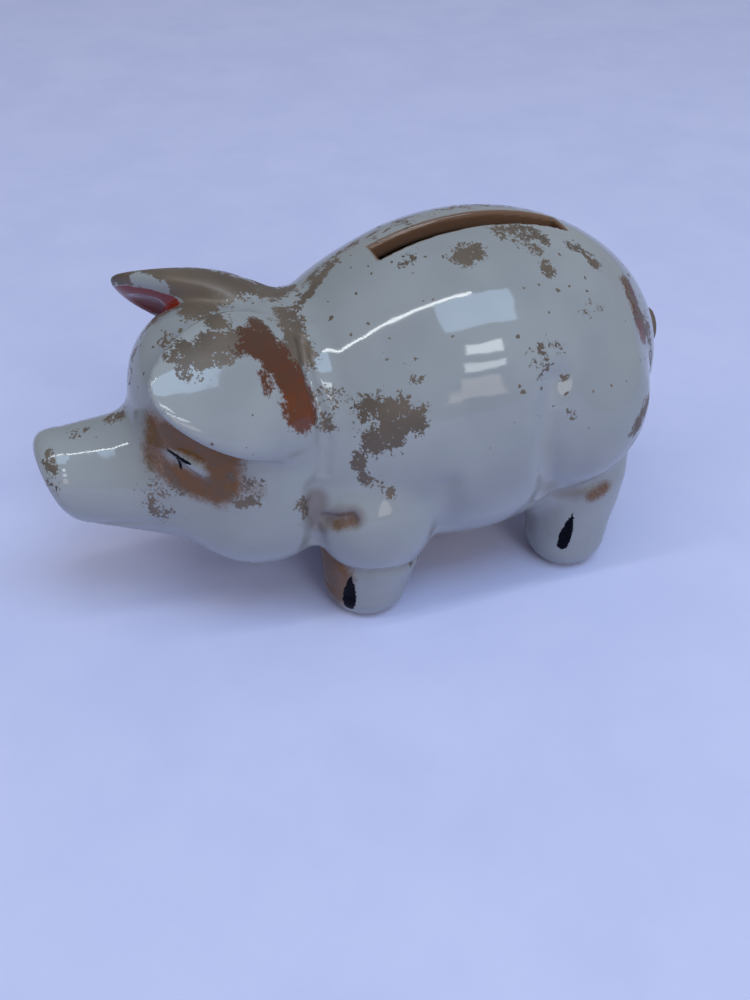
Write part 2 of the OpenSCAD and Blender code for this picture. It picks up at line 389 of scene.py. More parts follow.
def sample():
    """The clay's distance and the piece's label at every point of the grid."""
    counts = np.ceil((HIGH - LOW) / STEP).astype(int)
    axes = [LOW[k] + STEP * np.arange(counts[k]) for k in range(3)]
    value = np.empty(counts)
    label = np.zeros(counts, np.int8)
    for start in range(0, counts[1], 24):
        rows = slice(start, start + 24)
        p = np.stack(np.meshgrid(axes[0], axes[1][rows], axes[2], indexing="ij"), -1)
        value[:, rows] = solid(p)
        inside = value[:, rows] < 0
        part = np.zeros(inside.shape, np.int8)
        part[inside] = piece_of(p[inside])
        label[:, rows] = part
    return value, label


def nets(value, label):
    """Vertices, one for each cell with unlike corners, and quads, one for each edge between
    unlike points. Each quad has the labels behind and in front of it."""
    size = np.array(label.shape) - 1
    corner = [label[i:i + size[0], j:j + size[1], k:k + size[2]]
              for i in (0, 1) for j in (0, 1) for k in (0, 1)]
    mixed = np.any([c != corner[0] for c in corner[1:]], axis=0)
    cells = np.argwhere(mixed)
    number = np.full(size, -1, np.int64)
    number[mixed] = np.arange(len(cells))

    total = np.zeros(cells.shape)
    hits = np.zeros(len(cells))
    for axis in range(3):
        along = np.eye(3, dtype=int)[axis]
        for i in (0, 1):
            for j in (0, 1):
                offset = np.zeros(3, int)
                offset[(axis + 1) % 3], offset[(axis + 2) % 3] = i, j
                a, b = tuple((cells + offset).T), tuple((cells + offset + along).T)
                cross = label[a] != label[b]
                open_air = (label[a] == EMPTY) | (label[b] == EMPTY)
                gap = value[a] - value[b]
                t = np.where(open_air & (np.abs(gap) > 1e-9), value[a] / np.where(gap == 0, 1, gap), 0.5)
                point = cells + offset + np.clip(t, 0, 1)[:, None] * along
                total += np.where(cross[:, None], point, 0)
                hits += cross
    points = LOW + STEP * total / hits[:, None]

    quads, behind, front = [], [], []
    for axis in range(3):
        along = np.eye(3, dtype=int)[axis]
        u, v = np.eye(3, dtype=int)[(axis + 1) % 3], np.eye(3, dtype=int)[(axis + 2) % 3]
        a = label[tuple(slice(0, n - 1) if k == axis else slice(1, n - 1)
                        for k, n in enumerate(label.shape))]
        b = label[tuple(slice(1, n) if k == axis else slice(1, n - 1)
                        for k, n in enumerate(label.shape))]
        at = np.argwhere(a != b)
        a, b = a[tuple(at.T)], b[tuple(at.T)]
        base = at + 1 - along
        quads.append(np.stack([number[tuple((base - w).T)] for w in (u + v, v, 0 * u, u)], 1))
        behind.append(a)
        front.append(b)
    return points, np.concatenate(quads), np.concatenate(behind), np.concatenate(front)


def cast():
    """The pig's whole mesh: points, quads, the labels on each quad's two sides, and normals."""
    value, label = sample()
    points, quads, behind, front = nets(value, label)
    touches = np.zeros((len(points), len(PIECES) + 1), bool)
    for side in (behind, front):
        for k in range(4):
            touches[quads[:, k], side] = True
    open_air = touches[:, EMPTY]
    pairs = []
    for a in PIECES:
        for b in PIECES:
            if a < b:
                both = np.flatnonzero(touches[:, a] & touches[:, b])
                if len(both):
                    pairs.append((a, b, both))
    for _ in range(3):
        for a, b, both in pairs:
            points[both] = settle(lambda p: seam_between(p, a, b), points[both], 0.4 * STEP)
        points[open_air] = settle(solid, points[open_air], 0.5 * STEP)
    _, normals = slope(solid, points, 0.05)
    normals /= np.maximum(np.linalg.norm(normals, axis=-1, keepdims=True), 1e-9)
    return points, quads, behind, front, normals


def mesh_piece(name, points, faces, corner_normals):
    mesh = bpy.data.meshes.new(name)
    mesh.from_pydata((points * MM).tolist(), [], faces.tolist())
    mesh.validate()
    mesh.polygons.foreach_set("use_smooth", np.ones(len(mesh.polygons), bool))
    mesh.normals_split_custom_set(corner_normals.reshape(-1, 3).tolist())
    piece = bpy.data.objects.new(name, mesh)
    bpy.context.scene.collection.objects.link(piece)
    return piece


def add_mask(piece, name, values):
    layer = piece.data.attributes.new(name, "FLOAT", "POINT")
    layer.data.foreach_set("value", np.clip(values, 0, 1).astype(np.float32))


def build_pig():
    points, quads, behind, front, normals = cast()
    masks = paint(points)
    for label, node in PIECES.items():
        out, back = behind == label, front == label
        faces = np.concatenate([quads[out], quads[back][:, ::-1]])
        free = np.concatenate([front[out], behind[back]]) == EMPTY
        used, index = np.unique(faces, return_inverse=True)
        faces = index.reshape(faces.shape)
        place = points[used]
        corners = normals[used][faces]
        flat = np.cross(place[faces[:, 2]] - place[faces[:, 0]], place[faces[:, 3]] - place[faces[:, 1]])
        flat /= np.maximum(np.linalg.norm(flat, axis=-1, keepdims=True), 1e-9)
        corners[~free] = flat[~free][:, None]
        piece = mesh_piece("pig_" + node, place, faces, corners)
        for mask, values in masks.items():
            add_mask(piece, mask, values[used])
        slot = "gilt" if label == TAIL else "glaze"
        piece.data.materials.append(material(slot))
        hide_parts(node)
        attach(piece, "pig")


# ---------------------------------------------------------------- paint, as strokes in millimetres
# A stroke is a line of points with a radius and a strength. Below full strength it breaks into specks.

# Strokes on the left side that the right side has too.
GILT_BOTH = [
    ([(13, -29.7, 49.9), (11.8, -26.2, 50.2), (11, -23, 50.2)], 1.7, 0.76),
    ([(14.4, -29.4, 49.1), (14, -27, 49), (13.4, -24, 48.9)], 1.1, 0.72),
    ([(15.3, -30.3, 48.4), (15.5, -28.5, 47.9)], 0.8, 0.55),
    ([(6, -13.3, 47.8), (8.6, -13.4, 46.9), (10.2, -13.1, 45.2)], 1.9, 0.8),
    ([(2.5, -13, 48), (6, -13.3, 47.8)], 1.6, 0.65),
    ([(16.5, -24.1, 31.2), (17.1, -22.9, 30.2), (17.5, -22, 29.3)], 1.3, 0.5),
    ([(16.9, -24.5, 27.8), (17.3, -23.2, 28.2)], 1.5, 0.55),
    ([(9.5, -34.6, 27.2), (9.6, -36, 25.7), (9.9, -35, 22.9)], 1.8, 0.52),
    ([(8.8, -34.4, 30), (9.6, -33.6, 28.8), (11, -32.2, 28)], 1.1, 0.5),
    ([(14.4, -11.0, 40.8), (14.8, -9.6, 41)], 1.3, 0.5),
    ([(15.2, -10.8, 38.8), (15.9, -11.2, 37)], 1.2, 0.5),
    ([(17.8, -5.8, 39.4), (18.6, -3, 39.6), (19.9, -0.6, 38.2), (19.3, -3.6, 37)], 1.9, 0.78),
    ([(18.9, -5.8, 35.2), (19.8, -3.2, 35.4)], 1.8, 0.76),
    ([(18.7, -7.2, 33.4), (18.7, -7.8, 31.2)], 1.1, 0.7),
    ([(19.1, -7, 29.6), (19.8, -5.6, 28.4), (20.6, -3.8, 27.2)], 0.9, 0.6),
    ([(18.9, 0.2, 43.6), (18.5, 1.5, 43.1)], 0.8, 0.5),
    ([(17, 0, 45), (16.6, 1.2, 45.4)], 0.7, 0.45),
    ([(17.6, -16.2, 25.4), (17.4, -15.3, 24)], 1.1, 0.6),
    ([(16, 26.9, 48.2), (15.2, 28.4, 48.2)], 1.1, 0.45),
    ([(19.7, 20.2, 45.5), (20.2, 17.6, 45.4)], 1.4, 0.5),
    ([(20.4, 18.8, 44), (21, 18.2, 43)], 1.2, 0.5),
    ([(21.4, 21.6, 41), (21.3, 22, 41.6)], 0.6, 0.5),
    ([(23.3, 17.8, 36.5), (23.0, 19.0, 36.2)], 0.7, 0.55),
    ([(22.8, 22.6, 36.4), (22.8, 23, 35.8)], 0.7, 0.5),
    ([(18.5, 34.5, 35.5), (18.5, 35, 35.2)], 0.7, 0.5),
    ([(15.7, 38.9, 30.6), (17.3, 37.6, 26.4)], 1.2, 0.6),
    ([(17.9, 0.9, 10.4), (17.2, 1.9, 11.2)], 0.7, 0.7),
]
# The same on one side only, left being where x is above 0.
GILT_HERE = [
    ([(-16.6, -34.8, 48.4), (-14, -33.8, 50)], 1.5, 0.95),
    ([(-14, -33.8, 50), (-10.2, -29.4, 51), (-7, -26.4, 51), (-4.6, -22, 50.6)], 2.6, 1.0),
    ([(-5.2, -25.6, 48.4), (-3, -24.4, 48.6), (-4.4, -19.6, 50)], 2.4, 0.9),
    ([(-1.6, -25.8, 48.6), (1.2, -24.6, 48.7)], 1.6, 0.75),
    ([(-4.6, -17, 49.6), (-4.2, -14, 48.6), (-4.6, -11.4, 48.6)], 1.9, 0.85),
    ([(4.4, -24, 49.6), (8.6, -23.6, 51.2)], 1.4, 0.8),
    ([(-4.6, -28.9, 47), (-4, -31.3, 45.6)], 1.4, 0.6),
    ([(-2.3, -33.1, 44.4), (0.3, -35.4, 40.5)], 0.9, 0.5),
    ([(2.8, -30.2, 46.8), (3.4, -29.6, 47)], 1.1, 0.6),
    ([(1.5, -11.3, 48.2), (-0.9, -7.6, 49.8), (-3.8, -4, 51.5)], 0.9, 0.7),
    ([(-3, -10, 49), (-5, -5.4, 51), (-6.4, 0, 53)], 1.0, 0.62),
    ([(5.4, 3.6, 54), (4.6, 5, 54.6)], 1.0, 0.5),
    ([(8, 11, 55.1), (7.4, 12.8, 55.4)], 1.5, 0.7),
    ([(4.2, 18.8, 56.2), (3.9, 21.4, 56), (5.6, 23.6, 55.2)], 1.7, 0.62),
    ([(7.2, 20.8, 55.2), (8, 22.6, 54.8)], 1.4, 0.55),
    ([(6.6, 28.8, 53.4), (7.4, 30.4, 52.4), (8.6, 31.4, 51.2)], 1.3, 0.6),
    ([(11.3, 22.4, 53.1), (11.9, 23, 52.7)], 1.0, 0.7),
    ([(10.9, 37.1, 46), (12.2, 38.5, 43), (13, 39.5, 40)], 1.2, 0.5),
    ([(3.2, -48.3, 33), (5, -48.2, 31.6), (5.6, -48.6, 29)], 1.2, 0.5),
    ([(0.9, -44.1, 33.6), (0.2, -43, 33.6)], 1.0, 0.5),
    ([(-0.8, -38.9, 34), (-0.4, -37.7, 34.4)], 1.5, 0.55),
    ([(-4.8, 3, 54), (-6, 12, 55.2), (-6, 22, 55), (-5, 32, 52.6)], 1.8, 0.45),
    ([(0, 46.3, 41), (0, 46.8, 36), (0, 46.6, 30)], 3.2, 0.75),
    ([(8.8, 37.1, 47.7), (10.6, 37.6, 46.1), (12.3, 37.5, 44.5), (13.6, 37.8, 42.6), (14.3, 38.4, 40.4)],
     1.1, 0.4),
    ([(11.5, 40.1, 42), (12.9, 39.9, 40.2), (13.5, 40.6, 35)], 1.3, 0.6),
    ([(20.5, 36.2, 34.1), (22.3, 34.6, 32.9), (23.1, 33.6, 31)], 1.0, 0.75),
]
PLAIN_HERE = [
    ([(-11.4, -31.6, 49.8), (-9.6, -30.2, 49.8), (-7.9, -28.2, 49.4)], 0.75, 1.0),
]
ORANGE_BOTH = [
    ([(8.5, -33.7, 36.9), (8.2, -34, 35)], 2.0, 0.85),
    ([(10, -32.6, 36.4), (12.6, -29.6, 35.8), (15.2, -25.6, 34.6)], 2.0, 1.0),
    ([(7.8, -34.4, 33.4), (8.4, -34, 31.4), (9.6, -33, 30.4)], 1.7, 0.75),
    ([(10.4, -32, 29.8), (12.2, -30, 29), (13.6, -28.6, 28.9)], 1.6, 1.0),
    ([(15.2, -26.4, 32.6), (15.6, -26, 30.4), (14.8, -27.2, 29.4)], 2.1, 1.0),
    ([(16, -24.8, 32.2), (16, -25, 30.8)], 1.5, 0.7),
    ([(16.8, -23.6, 30.6), (17.4, -22, 29.4)], 1.3, 0.5),
    ([(18.8, -11, 21.8), (19.8, -9.6, 22.8), (20.1, -9.2, 23.2)], 1.1, 0.6),
    ([(14.8, -12, 12.4), (16.6, -10.8, 10), (15.8, -11, 5.2)], 2.1, 1.0),
    ([(12.2, -12.8, 12), (12.8, -12.4, 7), (13.6, -11.8, 3.2)], 2.4, 1.0),
    ([(10, -12.6, 12), (10.2, -12.3, 6)], 2.2, 0.9),
    ([(19.3, 30.3, 17.2), (19.5, 32.2, 18)], 1.15, 0.75),
]
RUST_BOTH = [
    ([(8.2, -18.3, 50), (9.7, -18.1, 49.2)], 1.4, 0.8),
    ([(11.8, -22.3, 49.6), (10.3, -20.5, 49.9), (9.7, -18.1, 49.2), (11, -17.4, 48.2), (12.3, -16.5, 46.7)],
     1.5, 0.8),
    ([(12.3, -16.3, 46.7), (13.4, -15.6, 45.2), (14.6, -15.3, 43.4), (15.6, -15, 41.5), (16.1, -14.9, 40.2)],
     2.2, 1.0),
    ([(11.6, -20.5, 49.1), (12.1, -19.6, 48.4), (12.6, -18.4, 47.4), (13.4, -18, 46.6)], 1.1, 0.85),
    ([(14.7, -19.4, 46), (15.7, -19.1, 44.6)], 1.1, 0.6),
    ([(9.4, 37.3, 47.1), (11, 37.3, 45.9), (12.1, 37.6, 44.5), (12.9, 38, 42.9), (13.7, 38.2, 41.3)],
     1.5, 0.8),
]
# Painted shade: grey that darkens the creases and joins at the cheek, arm, hooves and haunch, and the top of
# the rear leg under the haunch.
CREASE_SHADE_BOTH = [
    ([(16.5, -13.6, 25.2), (16.5, -13.4, 23.2), (16.5, -13, 20.8)], 1.5, 1.0),
    ([(16.8, -12.2, 21.6), (18.4, -10.9, 22.8), (20.2, -9, 23.6)], 1.3, 1.0),
    ([(17.7, -9.4, 11.9), (19.4, -7.7, 12), (20.3, -5.1, 12.2), (19.9, -1.8, 11.5), (18.4, 0.4, 10.8)],
     0.5, 0.6),
    ([(15.6, -14.1, 17), (16.3, -12.7, 18.2)], 1.5, 0.35),
    ([(17.9, 24.5, 18), (18.1, 26.1, 17.8), (18.7, 27.8, 17.6)], 1.2, 0.6),
    ([(15.6, 25.6, 15), (16.6, 25.6, 9)], 2.2, 0.45),
    ([(13, 23.6, 10.1), (12.2, 24, 7.2)], 1.6, 0.5),
    ([(20.4, 21.9, 21), (18.6, 23.4, 19)], 1.4, 0.5),
    ([(17, 1.4, 11.4), (16.2, 2.4, 12.2)], 0.9, 0.6),
]


def coat_of(p, strokes):
    """How well the strokes cover each point, 0 to 1."""
    cover = np.zeros(len(p))
    for points, radius, strength in strokes:
        low, high = np.min(points, axis=0) - 3 * radius, np.max(points, axis=0) + 3 * radius
        close = np.all((p > low) & (p < high), axis=-1)
        if close.any():
            fade = np.clip(1.35 - 0.65 * trail(p[close], points) / radius, 0, 1)
            cover[close] = np.maximum(cover[close], strength * fade)
    return cover


# The red in an ear goes this far past the cup, up to this height, this far down across the ear, and
# from the ear's rim to this depth through the ear.
RED_PAST, RED_TOP, RED_DOWN, RED_RIM, RED_DEEP = 2.64, 49.2, 5.3, -0.2, -9
SKIN = 1.0  # Paint goes this deep.
LIP_WIDTH, LIP_ABOVE = 0.9, 48  # The brown along the slot's edges, and the height it starts at.
SOLE_EDGE = 0.5  # The bare clay of a sole reaches this high.
LID_LONG_PAINT, LID_WIDE_PAINT = 2.6, 0.9  # The closed lid, where the orange is thinner.


def rise(x, over=1.0):
    """0 up to zero, and from there up to 1 over the given distance."""
    return np.clip(x / over, 0, 1)


def red_of(p):
    """Where the ears are red."""
    ear, height = ear_space(p), p[:, 2]
    cup = rise(RED_PAST - ball(ear, *EAR_CUP), 0.6) * rise(RED_DOWN - ear[:, 1])
    cup *= rise(RED_RIM - ear[:, 2], 0.4) * rise(ear[:, 2] - RED_DEEP) * rise(RED_TOP - height, 0.4)
    return cup * (height > 34) * (p[:, 1] < -14)


def paint(p):
    """The masks of each kind of paint, of the painted shade in the creases, and of bare clay, at each point.
    """
    q = mirrored(p)
    inside = rise(-form(p) - SKIN, 0.8)
    outside = 1 - inside
    slot, _ = openings(p)
    lip = rise(LIP_WIDTH - np.abs(slot), LIP_WIDTH) * (p[:, 2] > LIP_ABOVE)
    sole = rise(SOLE_EDGE - p[:, 2], 0.4)
    along, across = eye_lines(q)
    lid = np.clip(1.8 - np.hypot(along / LID_LONG_PAINT, across / LID_WIDE_PAINT) * 1.2, 0, 1)
    cup = red_of(p)
    gilt = np.maximum(coat_of(q, GILT_BOTH), coat_of(p, GILT_HERE)) * (1 - coat_of(p, PLAIN_HERE))
    return {
        "gilt": gilt * outside * (1 - cup),
        "orange": coat_of(q, ORANGE_BOTH) * outside * (1 - 0.5 * lid),
        "rust": coat_of(q, RUST_BOTH) * outside,
        "lip": lip,
        "rose": cup * outside,
        # Painted shade: grey that darkens the creases.
        "crease_shade": coat_of(q, CREASE_SHADE_BOTH) * outside,
        "bare": np.maximum(sole, inside * (1 - lip)),
    }


# ---------------------------------------------------------------- materials


class Nodes:
    """A short way to write a node tree."""

    def __init__(self, name):
        self.material = bpy.data.materials.new(name)
        self.material.use_nodes = True
        self.tree = self.material.node_tree
        self.tree.nodes.clear()

    def add(self, kind, **settings):
        node = self.tree.nodes.new("ShaderNode" + kind)
        for key, value in settings.items():
            setattr(node, key, value)
        return node

    def feed(self, socket, value):
        if isinstance(value, bpy.types.NodeSocket):
            self.tree.links.new(value, socket)
        else:
            socket.default_value = value

    def math(self, operation, a, b=0.0, clamp=False):
        node = self.add("Math", operation=operation, use_clamp=clamp)
        self.feed(node.inputs[0], a)
        self.feed(node.inputs[1], b)
        return node.outputs[0]

    def vector(self, operation, a, b=(0, 0, 0)):
        node = self.add("VectorMath", operation=operation)
        self.feed(node.inputs[0], a)
        self.feed(node.inputs[1], b)
        return node.outputs["Value"] if operation in ("LENGTH", "DOT_PRODUCT") else node.outputs[0]

    def ramp(self, value, low, high, to_low=0.0, to_high=1.0):
        node = self.add("MapRange", interpolation_type="SMOOTHSTEP")
        self.feed(node.inputs["Value"], value)
        for key, number in (("From Min", low), ("From Max", high), ("To Min", to_low), ("To Max", to_high)):
            node.inputs[key].default_value = number
        return node.outputs["Result"]

    def noise(self, place, scale, detail=3.0, rough=0.5, distortion=0.0):
        node = self.add("TexNoise")
        self.feed(node.inputs["Vector"], place)
        node.inputs["Scale"].default_value = scale
        node.inputs["Detail"].default_value = detail
        node.inputs["Roughness"].default_value = rough
        node.inputs["Distortion"].default_value = distortion
        return node.outputs["Fac"]

    def noise_colour(self, place, scale):
        node = self.add("TexNoise")
        self.feed(node.inputs["Vector"], place)
        node.inputs["Scale"].default_value = scale
        return node.outputs["Color"]

    def mix(self, factor, a, b):
        node = self.add("Mix", data_type="RGBA")
        self.feed(node.inputs["Factor"], factor)
        self.feed(node.inputs["A"], a)
        self.feed(node.inputs["B"], b)
        return node.outputs["Result"]

    def shake(self, value, noise, amount):
        """The value with a noise about 0.5 added to it."""
        return self.math("ADD", value, self.math("MULTIPLY", self.math("SUBTRACT", noise, 0.5), amount))

    def finish(self, shader, height, strength, depth):
        """Puts a bump of the given height map on the shader and makes it the material's surface."""
        bumps = self.add("Bump")
        bumps.inputs["Strength"].default_value = strength
        bumps.inputs["Distance"].default_value = depth
        self.feed(bumps.inputs["Height"], height)
        self.feed(shader.inputs["Normal"], bumps.outputs[0])
        self.feed(self.add("OutputMaterial").inputs[0], shader.outputs[0])

    def mask(self, name):
        return self.add("Attribute", attribute_name=name).outputs["Fac"]

    def place(self):
        return self.add("TexCoord").outputs["Object"]


def colour(r, g, b):
    """A colour given as it looks on a screen, 0 to 255."""
    levels = [c / 255 for c in (r, g, b)]
    return tuple(c / 12.92 if c <= 0.04045 else ((c + 0.055) / 1.055) ** 2.4 for c in levels) + (1.0,)


WHITE = colour(153, 157, 160)
WHITE_THIN = colour(145, 149, 153)
GOLD = colour(115, 101, 89)
GOLD_DARK = colour(93, 82, 73)
ORANGE = colour(116, 72, 22)
ORANGE_DARK = colour(96, 73, 52)
RUST = colour(95, 46, 24)
RUST_BRIGHT = colour(114, 53, 19)
RUST_DARK = colour(80, 54, 41)
ROSE = colour(122, 26, 10)
LIP = colour(114, 84, 66)
# The grey of the painted shade that darkens the creases.
PAINTED_SHADE = colour(126, 118, 118)
BISCUIT = colour(170, 164, 154)
INK = colour(3, 5, 16)

# How far along its sine, in radians, a stroke's width runs, and where it starts.
LASH_TAPER = (2.4, 0.35)
CLEFT_TAPER = (2.1, 0.05)
# How many cells of flecks there are to a metre, and their size as a share of a cell.
FLECKS = [(260, 0.11), (620, 0.17)]
# Both ends and the width of each ink stroke, in millimetres.
LASHES = [((9.9, -32.7, 33.9), (13.1, -30.2, 33.0), 0.45), ((11.2, -31.7, 33.4), (10.8, -31.2, 30.9), 0.34)]
CLEFTS = [((18.0, -8.9, 10.4), (17.0, -9.3, 2.8), 1.2), ((18.6, 27.8, 13.6), (17.6, 27.2, 6.0), 1.0)]


def stroke_mask(n, here, a, b, width, taper, ragged):
    """1 on a painted stroke from a to b, in millimetres. Its width follows a sine, as its taper says."""
    a, b = np.array(a, float), np.array(b, float)
    run = b - a
    along = n.math("DIVIDE", n.vector("DOT_PRODUCT", n.vector("SUBTRACT", here, tuple(a)), tuple(run)),
                   float(run @ run), clamp=True)
    scaled = n.add("VectorMath", operation="SCALE")
    scaled.inputs[0].default_value = tuple(run)
    n.feed(scaled.inputs["Scale"], along)
    off = n.vector("LENGTH", n.vector("SUBTRACT", n.vector("SUBTRACT", here, tuple(a)), scaled.outputs[0]))
    run_of_sine, start_of_sine = taper
    bulge = n.math("SINE", n.math("ADD", n.math("MULTIPLY", along, run_of_sine), start_of_sine))
    edge = n.math("SUBTRACT", n.math("MULTIPLY", bulge, width), off)
    return n.ramp(n.math("ADD", edge, ragged), -0.04, 0.04)


def speckled(n, cover, broad, fine, reach=0.95):
    """Ragged cover from a soft mask: full where the mask is 1, broken into specks where it is low."""
    grain = n.math("ADD", n.math("MULTIPLY", broad, 0.62), n.math("MULTIPLY", fine, 0.38))
    return n.ramp(n.shake(cover, grain, reach), 0.45, 0.55)


def flecks(n, here, height, near, scale, size):
    """Stray flecks of gilding on the upper half, more of them near the gilding."""
    cell = n.add("TexVoronoi")
    shaken = n.vector("MULTIPLY_ADD", n.noise_colour(here, 900), (0.0011, 0.0011, 0.0011))
    n.feed(shaken.node.inputs[2], here)
    n.feed(cell.inputs["Vector"], shaken)
    cell.inputs["Scale"].default_value = scale
    chance = n.add("SeparateXYZ")
    n.feed(chance.inputs[0], cell.outputs["Color"])
    luck = n.math("ADD", chance.outputs[0], n.math("MULTIPLY", near, 0.9))
    kept = n.math("MULTIPLY", n.ramp(luck, 0.5, 0.9), n.ramp(height, 26, 42))
    return n.ramp(n.math("SUBTRACT", n.math("MULTIPLY", kept, size), cell.outputs["Distance"]), -0.012, 0.012)


def left_side(n, here):
    """The place in millimetres, folded onto the pig's left side, and its height."""
    at = n.add("SeparateXYZ")
    n.feed(at.inputs[0], n.vector("MULTIPLY", here, (1000, 1000, 1000)))
    folded = n.add("CombineXYZ")
    for axis, value in enumerate((n.math("ABSOLUTE", at.outputs[0]), at.outputs[1], at.outputs[2])):
        n.feed(folded.inputs[axis], value)
    return folded.outputs[0], at.outputs[2]


def airbrushed(n, height, broad, fine, soft):
    """The glaze's white with painted shade in its hollows, and the airbrushed orange, rust-brown and red."""
    glaze = n.mix(soft, WHITE, WHITE_THIN)
    # Painted shade darkens the hollows.
    glaze = n.mix(n.ramp(n.mask("crease_shade"), 0.1, 1), glaze, PAINTED_SHADE)
    spray = n.ramp(n.shake(n.shake(n.mask("orange"), fine, 0.18), broad, 0.2), 0.15, 0.85)
    glaze = n.mix(spray, glaze, n.mix(broad, ORANGE, ORANGE_DARK))
    rust = n.ramp(n.shake(n.shake(n.mask("rust"), broad, 0.35), fine, 0.25), 0.35, 0.65)
    brighter_down = n.mix(n.ramp(height, 41, 45, 1, 0), RUST, RUST_BRIGHT)
    darker_up = n.math("ADD", n.math("MULTIPLY", broad, 0.7), n.ramp(height, 45, 50, 0, 0.6), clamp=True)
    glaze = n.mix(rust, glaze, n.mix(darker_up, brighter_down, RUST_DARK))
    glaze = n.mix(n.ramp(n.mask("lip"), 0.15, 0.6), glaze, LIP)
    return n.mix(n.ramp(n.shake(n.mask("rose"), broad, 0.4), 0.35, 0.7), glaze, ROSE)


def inked(n, side_mm, fine):
    """1 on the lashes and on the clefts of the hooves."""
    ragged = n.math("MULTIPLY", n.math("SUBTRACT", fine, 0.5), 0.25)
    ink = 0.0
    for a, b, width in LASHES:
        lash = stroke_mask(n, side_mm, a, b, width, LASH_TAPER, n.math("MULTIPLY", ragged, 0.3))
        ink = n.math("MAXIMUM", ink, lash)
    for a, b, width in CLEFTS:
        ink = n.math("MAXIMUM", ink, stroke_mask(n, side_mm, a, b, width, CLEFT_TAPER, ragged))
    return ink


def gilded(n, here, height, broad, fine, worn):
    """1 where the gilding has lasted."""
    gilt = speckled(n, n.math("ADD", n.mask("gilt"), 0.75 - 0.75 * worn), broad, fine)
    for scale, size in FLECKS:
        gilt = n.math("MAXIMUM", gilt, flecks(n, here, height, n.mask("gilt"), scale, size))
    return gilt


def porcelain(name, worn):
    """Clear glaze over white porcelain with the paint masks on it. Worn is how worn its gilding is."""
    n = Nodes(name)
    here = n.place()
    side_mm, height = left_side(n, here)
    broad = n.ramp(n.noise(here, 480, 8, 0.7, 0.25), 0.3, 0.7)
    fine = n.ramp(n.noise(here, 2400, 3, 0.6), 0.3, 0.7)
    soft = n.ramp(n.noise(here, 90, 2, 0.5), 0.3, 0.7)
    ink = inked(n, side_mm, fine)
    gilt = gilded(n, here, height, broad, fine, worn)
    bare = n.mask("bare")

    glaze = n.mix(ink, airbrushed(n, height, broad, fine, soft), INK)
    surface = n.mix(gilt, glaze, n.mix(soft, GOLD_DARK, GOLD))
    shader = n.add("BsdfPrincipled")
    n.feed(shader.inputs["Base Color"], n.mix(bare, surface, BISCUIT))
    dull = n.math("ADD", 0.07, n.math("MULTIPLY", gilt, 0.38))
    dull = n.math("ADD", dull, n.math("MULTIPLY", ink, 0.2))
    n.feed(shader.inputs["Roughness"], n.math("ADD", dull, n.math("MULTIPLY", bare, 0.6), clamp=True))
    n.feed(shader.inputs["Metallic"], n.math("MULTIPLY", gilt, 0.22))
    n.feed(shader.inputs["Specular IOR Level"], n.math("SUBTRACT", 0.5, n.math("MULTIPLY", ink, 0.45)))
    shader.inputs["IOR"].default_value = 1.5

    relief_height = n.math("MULTIPLY", n.noise(here, 70, 3, 0.45), 0.9)
    relief_height = n.math("ADD", relief_height, n.math("MULTIPLY", gilt, 0.02))
    rough_clay = n.math("MULTIPLY", n.math("MULTIPLY", bare, fine), 0.05)
    n.finish(shader, n.math("ADD", relief_height, rough_clay), 0.5, 0.6 * MM)
    return n.material


def cork():
    """Fine-grained cork with dark pores."""
    n = Nodes("natural_cork")
    here = n.place()
    grain = n.ramp(n.noise(here, 500, 6, 0.65), 0.3, 0.7)
    cell = n.add("TexVoronoi")
    n.feed(cell.inputs["Vector"], n.vector("MULTIPLY", here, (1, 1, 0.45)))
    cell.inputs["Scale"].default_value = 420
    pore = n.math("MULTIPLY", n.ramp(cell.outputs["Distance"], 0.12, 0.3, 1, 0), n.ramp(grain, 0.45, 0.8))
    tone = n.mix(grain, colour(172, 128, 84), colour(206, 166, 118))
    shader = n.add("BsdfPrincipled")
    n.feed(shader.inputs["Base Color"], n.mix(pore, tone, colour(96, 62, 38)))
    shader.inputs["Roughness"].default_value = 0.85
    n.finish(shader, n.math("SUBTRACT", n.math("MULTIPLY", grain, 0.4), pore), 0.6, 0.3 * MM)
    return n.material


_made = {}


def material(slot):
    makers = {"glaze": lambda: porcelain("glazed_porcelain", 1.0),
              "gilt": lambda: porcelain("gilded_porcelain", 0.2),
              "cork": cork}
    if slot not in _made:
        _made[slot] = makers[slot]()
    return _made[slot]


# ---------------------------------------------------------------- the cork stopper


